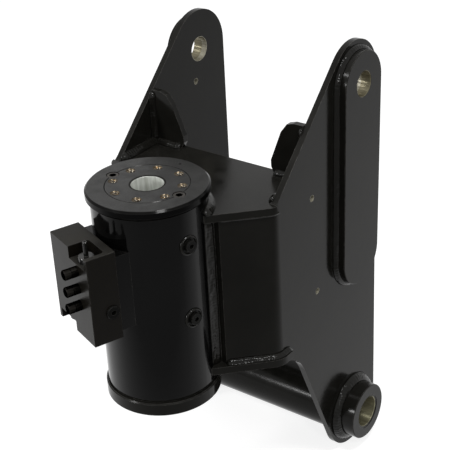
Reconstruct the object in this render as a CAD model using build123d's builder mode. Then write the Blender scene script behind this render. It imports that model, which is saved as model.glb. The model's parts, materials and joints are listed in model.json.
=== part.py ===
from build123d import *
from math import cos, degrees, radians, sin, sqrt, tan
import os

os.makedirs("parts", exist_ok=True)

# Frame: X along the pivot bore, Z along the rotator, ears at +Y, rotator at -Y

# Helical teeth, from the shaft out through the sleeve to the ring gear
TEETH = 12
LEAD = 200.0
TOOTH_H = 2.5
TOOTH_GAP = 0.3
SHAFT_R = 51.0
SHAFT_BORE_R = 19.5
SHAFT_ROOT_R = SHAFT_R + 0.4
SLEEVE_BORE_R = SHAFT_ROOT_R + TOOTH_H + 0.5
SLEEVE_WALL = 2.8
SLEEVE_ROOT_R = SLEEVE_BORE_R + SLEEVE_WALL
RING_WALL = 3.0
BORE_R = SLEEVE_ROOT_R + TOOTH_H + TOOTH_GAP + RING_WALL

# Barrel, end cap and flange
ROTOR_Y = -250.0
HOUSING_WALL = 7.0
HOUSING_R = BORE_R + HOUSING_WALL
HOUSING_TOP = 414.0
HOUSING_BOTTOM = 163.0
THRUST_T = 2.7
THRUST_GAP = 0.3
CAP_R = HOUSING_R + 5.0
CAP_T = 10.0
CAP_BOTTOM = HOUSING_TOP + THRUST_T + THRUST_GAP
CAP_TOP = CAP_BOTTOM + CAP_T
FLANGE_R = HOUSING_R + 3.0
FLANGE_T = 18.0
FLANGE_TOP = HOUSING_BOTTOM - THRUST_T - THRUST_GAP
FLANGE_BOTTOM = FLANGE_TOP - FLANGE_T
BEARING_WALL = 3.0
HUB_R = BORE_R - BEARING_WALL
HUB_TOP = HOUSING_BOTTOM + 13.0
SKIRT_BOTTOM = HOUSING_TOP - 29.0
RUN = 0.05
PISTON_RUN = 0.3
SEAL_T = 4.3
BEARING_T = 7.5

# Piston between the shaft and the ring gear, at the middle of its travel
TRAVEL = 25.0
HEAD_T = 26.0
PISTON_MID = 321.0
HEAD_BOTTOM = PISTON_MID - HEAD_T / 2
HEAD_TOP = PISTON_MID + HEAD_T / 2
SLEEVE_LENGTH = 101.0
SLEEVE_BOTTOM = HEAD_BOTTOM - SLEEVE_LENGTH
GROOVE_DEPTH = 4.0
SHAFT_TEETH = (HUB_TOP + 24.0, HUB_TOP + 90.0)
RING_GEAR = (SLEEVE_BOTTOM + 19.0, SLEEVE_BOTTOM + 43.0)
SLEEVE_OUTER_TEETH = (SLEEVE_BOTTOM, SLEEVE_BOTTOM + 62.0)
SLEEVE_INNER_TEETH = (SLEEVE_BOTTOM + 16.0, SLEEVE_BOTTOM + 40.0)

# Threaded holes, lock screws and punch mark
HOLE_COUNT = 8
HOLE_PCD_R = SHAFT_R - 8.2
HOLE_PHASE = 22.86
HOLE_R = 5.1
HOLE_DEPTH = 24.0
HOLE_MOUTH = 1.2
FLANGE_HOLE_PCD_R = FLANGE_R - 15.0
FLANGE_HOLE_DEPTH = 14.0
LOCK_ANGLES = (184.0, 355.7)
LOCK_R = 8.0
LOCK_DEPTH = 15.0
LOCK_HEX = 8.0

# Pivot tube, its bushes and the lobe round it
BUSH_R = 22.0
BUSH_WALL = 2.5
BUSH_LENGTH = 59.0
BUSH_RECESS = 1.0
TUBE_BORE_R = BUSH_R + BUSH_WALL
TUBE_WALL = 15.5
TUBE_R = TUBE_BORE_R + TUBE_WALL
LOBE_Y = 4.0
LOBE_R = TUBE_R + 19.0

# Bracket
EAR_IN = 118.0
PLATE_T = 8.0
EAR_OUT = EAR_IN + PLATE_T
TUBE_HALF = EAR_OUT + 28.0
PIN_Y = 10.0
PIN_Z = 489.0
PIN_R = 16.5
DOUBLER_R = PIN_R + 26.0
BEAD = 7.0
EAR_TOP_R = DOUBLER_R + BEAD + 4.5
FRONT_SLOPE = 44.0
LOW_SLOPE = 66.8
TOP_PLATE_TOP = 394.0
LOW_PLATE_BOTTOM = 171.0
SHELF_T = 10.0
SHELF_REAR_Y = -87.0
TOP_LEDGE_Y = -168.0
LOW_LEDGE_Y = -150.0
TOP_LEDGE = 3.0
LOW_LEDGE = 7.0
LOW_EDGE_Z = LOW_PLATE_BOTTOM - 4.0
BEND_Y = -171.0
BEND_R = 20.0
BEND = radians(45)
GROOVE = 16.0
BEVEL = 5.0
SMALL_HOLES = ((-90.6, 370.0), (-81.6, 232.0), (-1.4, 446.0))
SMALL_HOLE_R = 4.0
DOUBLER_T = 14.0
DOUBLER_LOW = (4.5, 250.0)
COLLAR = 10.0
BEAD_LAND = 0.5
GUSSET_T = 8.0

# Valve block: a runs along the block, rho out from the rotator's axis
BLOCK_ANGLE = 249.5
BLOCK_IN = HOUSING_R + 3.0
BLOCK_T = 38.0
BLOCK_OUT = BLOCK_IN + BLOCK_T
BLOCK_HALF = 45.8
BLOCK_BOTTOM = 264.0
BLOCK_TOP = 380.5
POCKET = (1.0, 40.0)
POCKET_RHO = BLOCK_IN + 11.0
POCKET_R = 4.5
TOP_FLOOR = BLOCK_TOP - 15.5
LOW_FLOOR = BLOCK_BOTTOM + 13.5
CARTRIDGE_A = 21.0
CARTRIDGE_RHO = BLOCK_OUT - 13.0
STEM_R = 8.0
STEM_LENGTH = 58.0
CARTRIDGE_CAP_R = 9.8
CARTRIDGE_CAP = 8.0
STUD_R = 3.0
STUD_LENGTH = 18.0
SADDLE_HALF = BLOCK_HALF - 1.8
SADDLE = (BLOCK_BOTTOM + 8.5, BLOCK_TOP - 8.5)
STUB_A = 17.5
STUB_Z = (309.4, 332.0, 355.0)
STUB_R = 6.5
STUB_LENGTH = 17.0
STUB_SHANK = 4.0
PLUG_RHO = BLOCK_IN + 10.6
PLUG_Z = 303.0
SCREW_A = 37.0
SCREW_SEAT = BLOCK_IN - 5.0
SCREW_HEAD = 5.0
SCREW_Z = (BLOCK_BOTTOM + BLOCK_TOP) / 2

# Ports in the barrel
PORT_ANGLE = -12.0
PORT_Z = (HEAD_BOTTOM - TRAVEL - 12.0, HEAD_TOP + TRAVEL + 11.5)
PORT_R = 5.0
PORT_FLAT = HOUSING_R - 0.8
PASSAGE_A = 16.0
PASSAGE_R = 2.4
PASSAGES = ((-PASSAGE_A, HEAD_BOTTOM - TRAVEL - 2.7), (PASSAGE_A, HEAD_TOP + TRAVEL + 3.2))


def polar(radius, angle):
    return (radius * cos(radians(angle)), radius * sin(radians(angle)))


def level(z):
    """Level plane centred on the rotator."""
    return Plane(origin=(0, ROTOR_Y, z), x_dir=(1, 0, 0), z_dir=(0, 0, 1))


def outward(angle, rho, z, a=0.0):
    """Plane square to a radius of the rotator at a distance rho, its origin moved a sideways."""
    c, s = cos(radians(angle)), sin(radians(angle))
    return Plane(origin=(rho * c - a * s, ROTOR_Y + rho * s + a * c, z), x_dir=(-s, c, 0), z_dir=(c, s, 0))


def block_level(z):
    """Level plane of the valve block: x runs along the block, y in to the rotator's axis."""
    c, s = cos(radians(BLOCK_ANGLE)), sin(radians(BLOCK_ANGLE))
    return Plane(origin=(0, ROTOR_Y, z), x_dir=(-s, c, 0), z_dir=(0, 0, 1))


def toothed(root_r, gap=0.0):
    """Outline of straight-flanked teeth on a circle root_r, grown by gap on every side."""
    pitch = 360 / TEETH
    wider = degrees(gap / root_r)
    foot = pitch * 0.31 + wider
    head = pitch * 0.18 + wider
    low = root_r + gap
    high = low + TOOTH_H
    points = []
    for k in range(TEETH):
        for r, a in ((low, -foot), (high, -head), (high, head), (low, foot)):
            points.append(polar(r, k * pitch + a))
    return points


def twisted(points, z0, z1, hand):
    """Toothed bar from z0 to z1 on the rotator's axis, turning once in a length of LEAD."""
    wire = Wire.make_polygon([Vector(x, y, 0) for x, y in points], close=True)
    turn = 360 * (z1 - z0) / LEAD * hand
    start = 360 * (z0 - PISTON_MID) / LEAD * hand
    bar = Solid.extrude_linear_with_rotation(Face(wire), (0, 0, 0), (0, 0, z1 - z0), turn)
    return Location((0, ROTOR_Y, z0)) * (Rotation(0, 0, start) * bar)


def save(part, name):
    part.label = name
    export_step(part, "parts/" + name + ".step")


def save_pair(part, name):
    """Write a piece of the right side and its twin of the left side."""
    save(part, name + "_right")
    with BuildPart() as twin:
        mirror(part, about=Plane.YZ)
    save(twin.part, name + "_left")


def save_ring(name, z0, z1, inner, outer):
    """Write a flat ring on the rotator's axis."""
    with BuildPart() as piece:
        with BuildSketch(level(z0)):
            Circle(outer)
            Circle(inner, mode=Mode.SUBTRACT)
        extrude(amount=z1 - z0)
    save(piece.part, name)


# Barrel
with BuildPart() as housing:
    with BuildSketch(level(HOUSING_BOTTOM)):
        Circle(HOUSING_R)
        Circle(BORE_R, mode=Mode.SUBTRACT)
    extrude(amount=HOUSING_TOP - HOUSING_BOTTOM)
    rims = housing.edges().filter_by(GeomType.CIRCLE)
    chamfer(rims.filter_by(lambda e: e.radius > (BORE_R + HOUSING_R) / 2), 1.0)
    for z in PORT_Z:
        with BuildSketch(outward(PORT_ANGLE, BORE_R - 3, z)):
            Circle(PORT_R)
        extrude(amount=12, mode=Mode.SUBTRACT)
        with BuildSketch(outward(PORT_ANGLE, PORT_FLAT, z)):
            Circle(9.6)
        extrude(amount=4, mode=Mode.SUBTRACT)
    for a, z in PASSAGES:
        with BuildSketch(outward(BLOCK_ANGLE, BORE_R - 8, z, a)):
            Circle(PASSAGE_R)
        extrude(amount=20, mode=Mode.SUBTRACT)
save(housing.part, "housing")

# Helical teeth: the shaft's run to one hand and the ring gear's to the other, so the
# piston screws along the ring gear and turns half as far as the shaft
shaft_teeth = twisted(toothed(SHAFT_ROOT_R), *SHAFT_TEETH, -1)
shaft_spaces = twisted(toothed(SHAFT_ROOT_R, TOOTH_GAP), *SLEEVE_INNER_TEETH, -1)
sleeve_teeth = twisted(toothed(SLEEVE_ROOT_R), *SLEEVE_OUTER_TEETH, 1)
sleeve_spaces = twisted(toothed(SLEEVE_ROOT_R, TOOTH_GAP), *RING_GEAR, 1)

# Ring gear fixed in the barrel
with BuildPart() as ring_gear:
    with BuildSketch(level(RING_GEAR[0])):
        Circle(BORE_R)
    extrude(amount=RING_GEAR[1] - RING_GEAR[0])
    add(sleeve_spaces, mode=Mode.SUBTRACT)
save(ring_gear.part, "ring_gear")

# Shaft: flange, hub, toothed middle and top end
with BuildPart() as shaft:
    with BuildSketch(level(FLANGE_BOTTOM)):
        Circle(FLANGE_R)
    extrude(amount=FLANGE_T)
    chamfer(shaft.edges().filter_by(GeomType.CIRCLE), 1.5)
    with BuildSketch(level(FLANGE_TOP - 1)):
        Circle(HUB_R)
    extrude(amount=HUB_TOP - FLANGE_TOP + 1)
    with BuildSketch(level(HUB_TOP - 1)):
        Circle(SHAFT_R)
    extrude(amount=CAP_TOP - HUB_TOP + 1)
    add(shaft_teeth)
    with BuildSketch(level(FLANGE_BOTTOM)):
        Circle(SHAFT_BORE_R)
    extrude(amount=CAP_TOP - FLANGE_BOTTOM, mode=Mode.SUBTRACT)
    with BuildSketch(level(CAP_TOP)):
        with PolarLocations(HOLE_PCD_R, HOLE_COUNT, start_angle=HOLE_PHASE):
            Circle(HOLE_R)
    extrude(amount=-HOLE_DEPTH, mode=Mode.SUBTRACT)
    top_edges = shaft.faces().sort_by(Axis.Z)[-1].edges().filter_by(GeomType.CIRCLE)
    hole_edges = top_edges.filter_by(lambda e: e.radius < HOLE_R + 0.1)
    chamfer(hole_edges, HOLE_MOUTH)
    top_edges = shaft.faces().sort_by(Axis.Z)[-1].edges().filter_by(GeomType.CIRCLE)
    chamfer(top_edges.filter_by(lambda e: e.radius > HOLE_R + HOLE_MOUTH + 0.1), 0.8)
    with BuildSketch(level(FLANGE_BOTTOM)):
        with PolarLocations(FLANGE_HOLE_PCD_R, HOLE_COUNT, start_angle=HOLE_PHASE):
            Circle(HOLE_R)
    extrude(amount=FLANGE_HOLE_DEPTH, mode=Mode.SUBTRACT)
    with BuildSketch(level(CAP_TOP)):
        for angle in LOCK_ANGLES:
            with Locations(polar(SHAFT_R, angle)):
                Circle(LOCK_R)
    extrude(amount=-LOCK_DEPTH, mode=Mode.SUBTRACT)
save(shaft.part, "shaft")

# End cap screwed on the shaft, its skirt running in the barrel
with BuildPart() as end_cap:
    with BuildSketch(level(CAP_BOTTOM)):
        Circle(CAP_R)
    extrude(amount=CAP_T)
    chamfer(end_cap.faces().sort_by(Axis.Z)[-1].edges(), 2.5)
    chamfer(end_cap.faces().sort_by(Axis.Z)[0].edges(), 1.0)
    with BuildSketch(level(SKIRT_BOTTOM)):
        Circle(HUB_R)
    extrude(amount=CAP_BOTTOM - SKIRT_BOTTOM + 1)
    with BuildSketch(level(SKIRT_BOTTOM)):
        Circle(SHAFT_R)
    extrude(amount=CAP_TOP - SKIRT_BOTTOM, mode=Mode.SUBTRACT)
    bore_edge = end_cap.faces().sort_by(Axis.Z)[-1].edges().filter_by(GeomType.CIRCLE)
    chamfer(bore_edge.filter_by(lambda e: abs(e.radius - SHAFT_R) < 0.01), 0.8)
    with BuildSketch(level(CAP_TOP)):
        for angle in LOCK_ANGLES:
            with Locations(polar(SHAFT_R, angle)):
                Circle(LOCK_R)
    extrude(amount=-LOCK_DEPTH, mode=Mode.SUBTRACT)
    with BuildSketch(level(CAP_TOP)):
        with Locations(polar((SHAFT_R + CAP_R) / 2 - 1.5, 89.3)):
            Circle(1.5)
    extrude(amount=-1.0, mode=Mode.SUBTRACT)
save(end_cap.part, "end_cap")

# Two socket set screws straddling the thread between shaft and end cap
with BuildPart() as lock_screws:
    with BuildSketch(level(CAP_TOP - LOCK_DEPTH)):
        for angle in LOCK_ANGLES:
            with Locations(polar(SHAFT_R, angle)):
                Circle(LOCK_R)
    extrude(amount=LOCK_DEPTH - 0.5)
    chamfer(lock_screws.faces().group_by(Axis.Z)[-1].edges(), 0.9)
    with BuildSketch(level(CAP_TOP)):
        for angle in LOCK_ANGLES:
            with Locations(polar(SHAFT_R, angle)):
                RegularPolygon(LOCK_HEX / 2, 6, major_radius=False)
    extrude(amount=-7, mode=Mode.SUBTRACT)
save(lock_screws.part, "lock_screws")

# Bearings, seals and thrust washers seated in the barrel
LOW_SEAL = HOUSING_BOTTOM + 0.4
LOW_BEARING = LOW_SEAL + SEAL_T + 0.3
TOP_BEARING = HOUSING_TOP - 5.0 - BEARING_T
TOP_SEAL = TOP_BEARING - 1.0 - SEAL_T
save_ring("lower_seal", LOW_SEAL, LOW_SEAL + SEAL_T, HUB_R + RUN, BORE_R)
save_ring("lower_bearing", LOW_BEARING, LOW_BEARING + BEARING_T, HUB_R + RUN, BORE_R)
save_ring("upper_seal", TOP_SEAL, TOP_SEAL + SEAL_T, HUB_R + RUN, BORE_R)
save_ring("upper_bearing", TOP_BEARING, TOP_BEARING + BEARING_T, HUB_R + RUN, BORE_R)
save_ring("lower_thrust_washer", HOUSING_BOTTOM - THRUST_T, HOUSING_BOTTOM, HUB_R + 0.4, HOUSING_R - 1.5)
save_ring("upper_thrust_washer", HOUSING_TOP, HOUSING_TOP + THRUST_T, HUB_R + 0.4, HOUSING_R - 1.5)

# Piston: head with grooves for its rings, sleeve with teeth outside and inside
SEAL_Z = (HEAD_BOTTOM + 11.0, HEAD_BOTTOM + 18.0)
GUIDE_Z = (HEAD_BOTTOM + 3.0, HEAD_BOTTOM + 8.0)
with BuildPart() as piston:
    with BuildSketch(level(HEAD_BOTTOM)):
        Circle(BORE_R - PISTON_RUN)
    extrude(amount=HEAD_T)
    chamfer(piston.edges().filter_by(GeomType.CIRCLE), 1.0)
    for z0, z1 in (SEAL_Z, GUIDE_Z):
        with BuildSketch(level(z0)):
            Circle(BORE_R + 1)
            Circle(BORE_R - GROOVE_DEPTH, mode=Mode.SUBTRACT)
        extrude(amount=z1 - z0, mode=Mode.SUBTRACT)
    with BuildSketch(level(SLEEVE_BOTTOM + 1)):
        Circle(SLEEVE_ROOT_R - 0.4)
    extrude(amount=HEAD_BOTTOM - SLEEVE_BOTTOM)
    add(sleeve_teeth)
    with BuildSketch(level(SLEEVE_BOTTOM - 1)):
        Circle(SLEEVE_BORE_R)
    extrude(amount=SLEEVE_INNER_TEETH[0] - SLEEVE_BOTTOM + 1, mode=Mode.SUBTRACT)
    with BuildSketch(level(SLEEVE_INNER_TEETH[1])):
        Circle(SLEEVE_BORE_R)
    extrude(amount=HEAD_BOTTOM - SLEEVE_INNER_TEETH[1], mode=Mode.SUBTRACT)
    add(shaft_spaces, mode=Mode.SUBTRACT)
    with BuildSketch(level(HEAD_BOTTOM - 1)):
        Circle(SHAFT_R + PISTON_RUN)
    extrude(amount=HEAD_T + 2, mode=Mode.SUBTRACT)
    with BuildSketch(level(SEAL_Z[0])):
        Circle(SHAFT_R + GROOVE_DEPTH)
    extrude(amount=SEAL_Z[1] - SEAL_Z[0], mode=Mode.SUBTRACT)
save(piston.part, "piston")
save_ring("piston_inner_seal", SEAL_Z[0], SEAL_Z[1], SHAFT_R + RUN, SHAFT_R + GROOVE_DEPTH)
save_ring("piston_outer_seal", SEAL_Z[0] + 0.2, SEAL_Z[1] - 0.2, BORE_R - GROOVE_DEPTH + RUN, BORE_R - RUN)
save_ring("piston_guide_ring", GUIDE_Z[0] + 0.2, GUIDE_Z[1] - 0.2, BORE_R - GROOVE_DEPTH + RUN, BORE_R - RUN)

# Plugs and sealing washers in the barrel's two ports
WASHER_T = 1.6
with BuildPart() as port_washers:
    for z in PORT_Z:
        with BuildSketch(outward(PORT_ANGLE, PORT_FLAT, z)):
            Circle(9)
            Circle(PORT_R, mode=Mode.SUBTRACT)
        extrude(amount=WASHER_T)
save(port_washers.part, "port_washers")

with BuildPart() as port_plugs:
    for z in PORT_Z:
        with BuildSketch(outward(PORT_ANGLE, BORE_R + 1.5, z)):
            Circle(PORT_R)
        extrude(amount=PORT_FLAT + WASHER_T - BORE_R)
        with BuildSketch(outward(PORT_ANGLE, PORT_FLAT + WASHER_T, z)):
            Circle(7.6)
        extrude(amount=4.4)
        with BuildSketch(outward(PORT_ANGLE, PORT_FLAT + WASHER_T + 4.4, z)):
            Circle(7.6)
        extrude(amount=0.8, taper=45)
        with BuildSketch(outward(PORT_ANGLE, PORT_FLAT + WASHER_T + 1.2, z)):
            RegularPolygon(3.0, 6, major_radius=False)
        extrude(amount=6, mode=Mode.SUBTRACT)
save(port_plugs.part, "port_plugs")

# The bent part of each side sheet runs along a line at BEND to the ear; these give the
# line's distance from the rotator's axis, its points and its crossing with the barrel
OUT_X, OUT_Y = cos(BEND), -sin(BEND)
REACH = EAR_OUT * OUT_X + (BEND_Y - ROTOR_Y) * OUT_Y


def sheet_point(offset, run):
    """Point on the bent part, offset out from its outer face, run back from the nearest point."""
    d = REACH + offset
    return (d * OUT_X - run * OUT_Y, ROTOR_Y + d * OUT_Y + run * OUT_X)


def sheet_crossing(offset):
    """Run at which that line meets the barrel."""
    return sqrt(HOUSING_R ** 2 - (REACH + offset) ** 2)


def bend_corner(offset):
    """Sharp corner of the bend, offset out from the outer face."""
    return (EAR_OUT + offset, BEND_Y - offset * tan(BEND / 2))


# Outline of the ear seen along the pivot: round top, lobe round the pivot, and the
# box side between the slanting front edge and the lower edge
steep = 90 + FRONT_SLOPE
flat = 270 - LOW_SLOPE
UPPER = (PIN_Y + EAR_TOP_R * cos(radians(steep)), PIN_Z + EAR_TOP_R * sin(radians(steep)))
LOWER = (LOBE_Y + LOBE_R * cos(radians(flat)), LOBE_R * sin(radians(flat)))
UPPER_FOOT = (UPPER[0] - (UPPER[1] - TOP_PLATE_TOP) / tan(radians(FRONT_SLOPE)), TOP_PLATE_TOP)
LOWER_FOOT = (LOWER[0] - (LOW_EDGE_Z - LOWER[1]) / tan(radians(LOW_SLOPE)), LOW_EDGE_Z)
FRONT = ROTOR_Y - 60
SPAN = 2 * EAR_IN + 2 * PLATE_T + 150

with BuildSketch() as ear_outline:
    with Locations((PIN_Y, PIN_Z)):
        Circle(EAR_TOP_R)
    with Locations((LOBE_Y, 0)):
        Circle(LOBE_R)
    make_hull()
    with BuildLine():
        Polyline(
            UPPER, UPPER_FOOT, (FRONT, TOP_PLATE_TOP), (FRONT, LOW_EDGE_Z), LOWER_FOOT, LOWER,
            (LOBE_Y, 0), (PIN_Y, PIN_Z), close=True,
        )
    make_face()
    fillet(ear_outline.vertices().sort_by_distance(Vector(*UPPER_FOOT))[0], 15)
    fillet(ear_outline.vertices().sort_by_distance(Vector(*LOWER_FOOT))[0], 60)
    with Locations((TOP_LEDGE_Y - SPAN / 2, TOP_PLATE_TOP - SHELF_T + SPAN / 8)):
        Rectangle(SPAN, SPAN / 4, mode=Mode.SUBTRACT)
    with Locations((LOW_LEDGE_Y - SPAN / 2, LOW_PLATE_BOTTOM + SHELF_T - SPAN / 8)):
        Rectangle(SPAN, SPAN / 4, mode=Mode.SUBTRACT)

with BuildPart() as side_plate:
    with BuildSketch(Plane.XY.offset(-LOBE_R - 5)) as side_plan:
        with BuildLine():
            Polyline(
                (EAR_OUT, LOBE_R + 20), bend_corner(0),
                sheet_point(0, sheet_crossing(0) + GROOVE),
                sheet_point(-BEVEL, sheet_crossing(0) + GROOVE - BEVEL),
                sheet_point(-BEVEL, 0), sheet_point(-PLATE_T, 0),
                bend_corner(-PLATE_T), (EAR_IN, LOBE_R + 20), close=True,
            )
        make_face()
        fillet(side_plan.vertices().sort_by_distance(Vector(*bend_corner(0)))[0], BEND_R)
        fillet(side_plan.vertices().sort_by_distance(Vector(*bend_corner(-PLATE_T)))[0], BEND_R - PLATE_T)
        with Locations((0, ROTOR_Y)):
            Circle(HOUSING_R, mode=Mode.SUBTRACT)
    extrude(amount=PIN_Z + EAR_TOP_R + LOBE_R + 10)
    with BuildSketch(Plane.YZ):
        add(ear_outline.sketch)
    extrude(amount=EAR_OUT + 5, mode=Mode.INTERSECT)
    with BuildSketch(Plane.YZ.offset(EAR_IN - 1)):
        with Locations((PIN_Y, PIN_Z)):
            Circle(PIN_R)
        with Locations((0, 0)):
            Circle(TUBE_R)
        with Locations(*SMALL_HOLES):
            Circle(SMALL_HOLE_R)
    extrude(amount=PLATE_T + 2, mode=Mode.SUBTRACT)
save_pair(side_plate.part, "side_plate")

# Doubler round the pin hole and the weld bead along its edge
with BuildPart() as doubler:
    with BuildSketch(Plane.YZ.offset(EAR_OUT)):
        with Locations((PIN_Y, PIN_Z), DOUBLER_LOW):
            Circle(DOUBLER_R)
        make_hull()
        with Locations((PIN_Y, PIN_Z)):
            Circle(PIN_R, mode=Mode.SUBTRACT)
    extrude(amount=DOUBLER_T)
    chamfer(doubler.faces().sort_by(Axis.X)[-1].edges(), 0.8)
save_pair(doubler.part, "doubler")

with BuildPart() as doubler_weld:
    with BuildSketch(Plane.YZ.offset(EAR_OUT)):
        with Locations((PIN_Y, PIN_Z), DOUBLER_LOW):
            Circle(DOUBLER_R + BEAD)
        make_hull()
    extrude(amount=BEAD - BEAD_LAND, taper=45)
    with BuildSketch(Plane.YZ.offset(EAR_OUT)):
        with Locations((PIN_Y, PIN_Z), DOUBLER_LOW):
            Circle(DOUBLER_R)
        make_hull()
    extrude(amount=BEAD, mode=Mode.SUBTRACT)
save_pair(doubler_weld.part, "doubler_weld")

# Pivot tube through both ears, its bushes and its weld collars
with BuildPart() as pivot_tube:
    with BuildSketch(Plane.YZ.offset(-TUBE_HALF)):
        Circle(TUBE_R)
        Circle(TUBE_BORE_R, mode=Mode.SUBTRACT)
    extrude(amount=2 * TUBE_HALF)
    chamfer(pivot_tube.edges().filter_by(GeomType.CIRCLE), 1.0)
save(pivot_tube.part, "pivot_tube")

with BuildPart() as pivot_bush:
    with BuildSketch(Plane.YZ.offset(TUBE_HALF - BUSH_RECESS - BUSH_LENGTH)):
        Circle(TUBE_BORE_R)
        Circle(BUSH_R, mode=Mode.SUBTRACT)
    extrude(amount=BUSH_LENGTH)
    outer_end = pivot_bush.faces().sort_by(Axis.X)[-1].edges()
    chamfer(outer_end.filter_by(lambda e: abs(e.radius - BUSH_R) < 0.01), 0.8)
save_pair(pivot_bush.part, "pivot_bush")

with BuildPart() as tube_weld:
    with BuildSketch(Plane.YZ.offset(EAR_OUT)):
        Circle(TUBE_R + COLLAR)
    extrude(amount=COLLAR - BEAD_LAND, taper=45)
    with BuildSketch(Plane.YZ.offset(EAR_OUT)):
        Circle(TUBE_R)
    extrude(amount=COLLAR, mode=Mode.SUBTRACT)
save_pair(tube_weld.part, "tube_weld")


def box_plan(offset):
    """Plan of the box within the sheets' outer faces moved out by offset."""
    half = [(EAR_OUT + offset, SHELF_REAR_Y), bend_corner(offset), sheet_point(offset, 0)]
    with BuildSketch() as outline:
        with BuildLine():
            Polyline(*half, *[(-x, y) for x, y in reversed(half)], close=True)
        make_face()
        for side in (1, -1):
            corner = Vector(side * bend_corner(offset)[0], bend_corner(offset)[1])
            fillet(outline.vertices().sort_by_distance(corner)[0], BEND_R + offset)
    return outline.sketch


def save_shelf(name, z, ledge_y, ledge):
    """Write a level plate of the box: between the sheets, and over them in front of ledge_y."""
    with BuildPart() as plate:
        with BuildSketch(Plane.XY.offset(z)):
            add(box_plan(ledge))
            with Locations((0, ledge_y + SPAN / 2)):
                Rectangle(2 * SPAN, SPAN, mode=Mode.SUBTRACT)
            add(box_plan(-PLATE_T))
            with Locations((0, ROTOR_Y)):
                Circle(HOUSING_R, mode=Mode.SUBTRACT)
        extrude(amount=SHELF_T)
    save(plate.part, name)


# Top and bottom plates of the box
save_shelf("top_plate", TOP_PLATE_TOP - SHELF_T, TOP_LEDGE_Y, TOP_LEDGE)
save_shelf("bottom_plate", LOW_PLATE_BOTTOM, LOW_LEDGE_Y, LOW_LEDGE)

# Gussets on the rear edge of the top plate, one against each ear
with BuildPart() as gusset:
    with BuildSketch(Plane.XZ.offset(-SHELF_REAR_Y)):
        with BuildLine():
            Polyline(
                (EAR_IN, TOP_PLATE_TOP), (73, TOP_PLATE_TOP), (69, TOP_PLATE_TOP + 8),
                (69, TOP_PLATE_TOP + 17), (85, TOP_PLATE_TOP + 58), (94, TOP_PLATE_TOP + 70),
                (104, TOP_PLATE_TOP + 73), (EAR_IN, TOP_PLATE_TOP + 73), close=True,
            )
        make_face()
    extrude(amount=GUSSET_T)
save_pair(gusset.part, "gusset")

# Saddle between the barrel and the valve block
with BuildPart() as valve_saddle:
    with BuildSketch(block_level(SADDLE[0])):
        with Locations((0, -BLOCK_IN / 2)):
            Rectangle(2 * SADDLE_HALF, BLOCK_IN)
        Circle(HOUSING_R, mode=Mode.SUBTRACT)
        with Locations((0, HOUSING_R / 4)):
            Rectangle(3 * HOUSING_R, HOUSING_R / 2, mode=Mode.SUBTRACT)
    extrude(amount=SADDLE[1] - SADDLE[0])
    for a, z in PASSAGES:
        with BuildSketch(outward(BLOCK_ANGLE, BORE_R, z, a)):
            Circle(PASSAGE_R)
        extrude(amount=20, mode=Mode.SUBTRACT)
    for a in (-SCREW_A, SCREW_A):
        with BuildSketch(outward(BLOCK_ANGLE, SCREW_SEAT, SCREW_Z, a)):
            Circle(5.2)
        extrude(amount=-20, mode=Mode.SUBTRACT)
        with BuildSketch(outward(BLOCK_ANGLE, SCREW_SEAT - 1, SCREW_Z, a)):
            Circle(3.2)
        extrude(amount=10, mode=Mode.SUBTRACT)
save(valve_saddle.part, "valve_saddle")

# Valve block: a pocket for each cartridge at opposite ends, three stub plugs in front
with BuildPart() as valve_block:
    with BuildSketch(block_level(BLOCK_BOTTOM)):
        with Locations((0, -(BLOCK_IN + BLOCK_OUT) / 2)):
            Rectangle(2 * BLOCK_HALF, BLOCK_OUT - BLOCK_IN)
    extrude(amount=BLOCK_TOP - BLOCK_BOTTOM)
    chamfer(valve_block.edges(), 0.6)
    middle_a = (POCKET[0] + POCKET[1]) / 2
    for side, floor, height in ((1, TOP_FLOOR, 20), (-1, LOW_FLOOR, -20)):
        with BuildSketch(block_level(floor)) as pocket:
            with Locations((side * middle_a, -POCKET_RHO - BLOCK_T / 2)):
                Rectangle(POCKET[1] - POCKET[0], BLOCK_T)
            fillet(pocket.vertices().group_by(Axis.Y)[-1], POCKET_R)
        extrude(amount=height, mode=Mode.SUBTRACT)
        with BuildSketch(block_level(floor)):
            with Locations((side * CARTRIDGE_A, -CARTRIDGE_RHO)):
                Circle(STEM_R)
        extrude(amount=-STEM_LENGTH if height > 0 else STEM_LENGTH, mode=Mode.SUBTRACT)
    for a, z in PASSAGES:
        with BuildSketch(outward(BLOCK_ANGLE, BLOCK_IN - 1, z, a)):
            Circle(PASSAGE_R)
        extrude(amount=CARTRIDGE_RHO - BLOCK_IN - 2, mode=Mode.SUBTRACT)
    for z in STUB_Z:
        with BuildSketch(outward(BLOCK_ANGLE, BLOCK_OUT, z, STUB_A)):
            Circle(STUB_R - 2)
        extrude(amount=-STUB_SHANK, mode=Mode.SUBTRACT)
    for a in (-SCREW_A, SCREW_A):
        with BuildSketch(outward(BLOCK_ANGLE, BLOCK_IN - 1, SCREW_Z, a)):
            Circle(3)
        extrude(amount=14, mode=Mode.SUBTRACT)
    cross = Plane(
        origin=outward(BLOCK_ANGLE, PLUG_RHO, PLUG_Z, BLOCK_HALF).origin,
        x_dir=(0, 0, 1),
        z_dir=-block_level(0).x_dir,
    )
    with BuildSketch(cross):
        Circle(5)
    extrude(amount=12, mode=Mode.SUBTRACT)
    with BuildSketch(cross):
        Circle(3)
    extrude(amount=BLOCK_HALF + 20, mode=Mode.SUBTRACT)
save(valve_block.part, "valve_block")

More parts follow.
